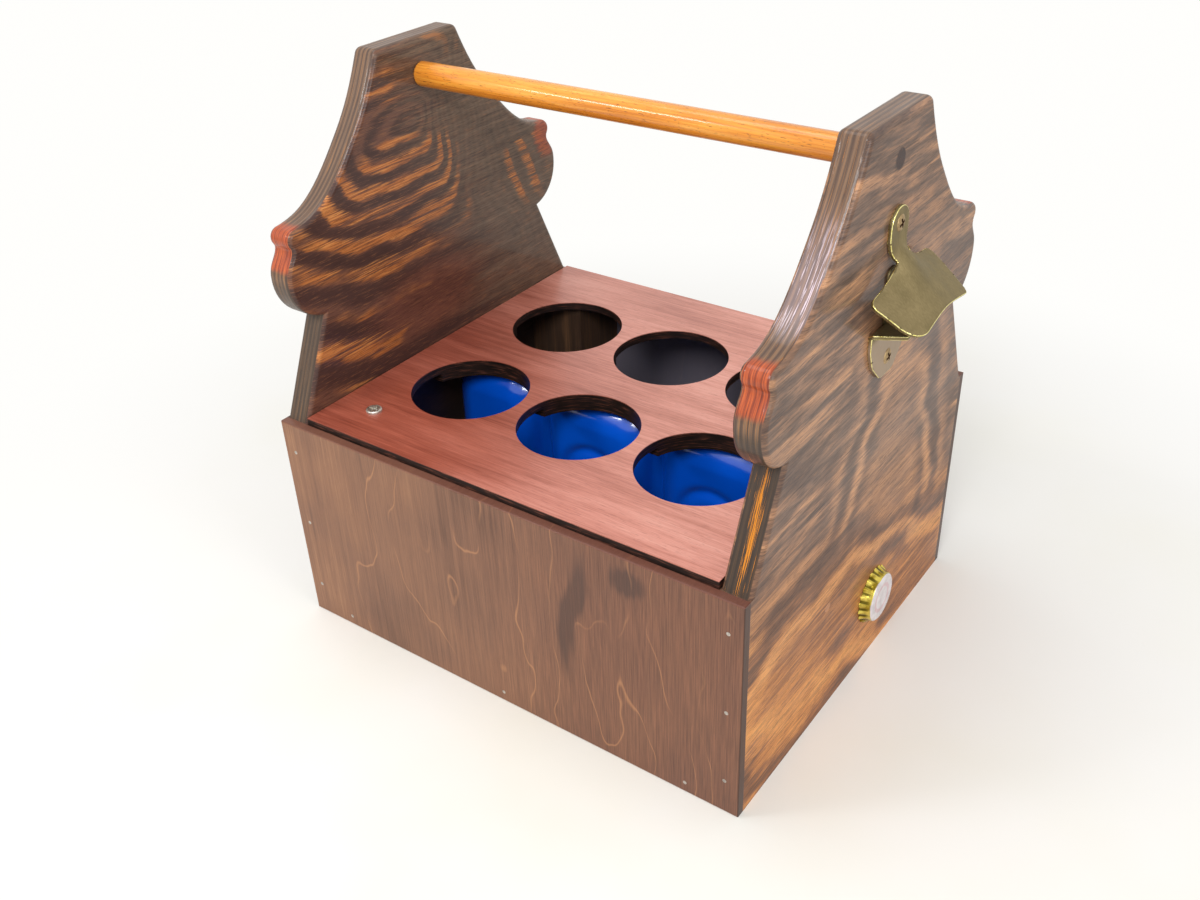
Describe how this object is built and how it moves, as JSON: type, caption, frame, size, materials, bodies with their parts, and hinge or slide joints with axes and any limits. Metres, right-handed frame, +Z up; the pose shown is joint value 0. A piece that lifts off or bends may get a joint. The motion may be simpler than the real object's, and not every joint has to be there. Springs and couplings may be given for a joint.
{
  "type": "bottle caddy",
  "caption": "Stained plywood bottle caddy with scrolled ends, round handle bar, holed lift-out board, cold pack, wall opener and a magnet-held crown cap.",
  "frame": {"origin": "middle of the flat underside of the box, where it stands on the table", "axes": "+X along the handle towards the end panel with the opener, +Y to the back, +Z up"},
  "size_m": [0.3033, 0.2346, 0.2965],
  "materials": {
    "end_ply": "dark stained plywood, gloss varnish",
    "panel_ply": "brown stained plywood, satin varnish",
    "inner_ply": "stained plywood, thin varnish",
    "block_pine": "stained pine",
    "board_ply": "red mahogany stained plywood, gloss varnish",
    "handle_dowel": "golden stained dowel, gloss varnish",
    "wood_filler": "dark stained filler plug",
    "brad_steel": "set brads touched in with stain",
    "screw_steel": "zinc plated steel",
    "opener_brass": "antiqued brass with worn edges",
    "screw_brass": "brass plated screws",
    "cap_gold": "lacquered crimped steel",
    "liner_plastic": "soft liner",
    "magnet_nickel": "nickel plated magnet",
    "pack_blue": "blue blow-moulded plastic",
    "pack_cap_white": "white plastic"
  },
  "bodies": {
    "caddy": {"end_panel_left": "end_ply", "end_panel_right": "end_ply", "front_panel": "panel_ply", "back_panel": "panel_ply", "bottom_board": "inner_ply", "corner_block_front_left": "block_pine", "corner_block_front_right": "block_pine", "corner_block_back_left": "block_pine", "corner_block_back_right": "block_pine", "handle_bar": "handle_dowel", "handle_screw_left": "screw_steel", "handle_screw_right": "screw_steel", "handle_plug_left": "wood_filler", "handle_plug_right": "wood_filler", "front_brads": "brad_steel", "back_brads": "brad_steel", "bottle_opener": "opener_brass", "opener_screw_top": "screw_brass", "opener_screw_bottom": "screw_brass", "cap_magnet": "magnet_nickel", "magnet_plug": "wood_filler"},
    "cold_pack_body": {"cold_pack": "pack_blue", "pack_filler_cap": "pack_cap_white"},
    "board_body": {"top_board": "board_ply", "board_strip": "board_ply", "board_screw_front": "screw_steel", "board_screw_back": "screw_steel"},
    "cap_body": {"crown_cap": "cap_gold", "cap_liner": "liner_plastic"}
  },
  "joints": [
    {"name": "pack_lift", "type": "slide", "parent": "caddy", "child": "cold_pack_body", "axis": [0, 0, 1], "range_m": [0, 0.065]},
    {"name": "board_lift", "type": "slide", "parent": "cold_pack_body", "child": "board_body", "axis": [0, 0, 1], "range_m": [0, 0.07]},
    {"name": "cap_pull", "type": "slide", "parent": "caddy", "child": "cap_body", "axis": [1, 0, 0], "range_m": [0, 0.06]}
  ]
}
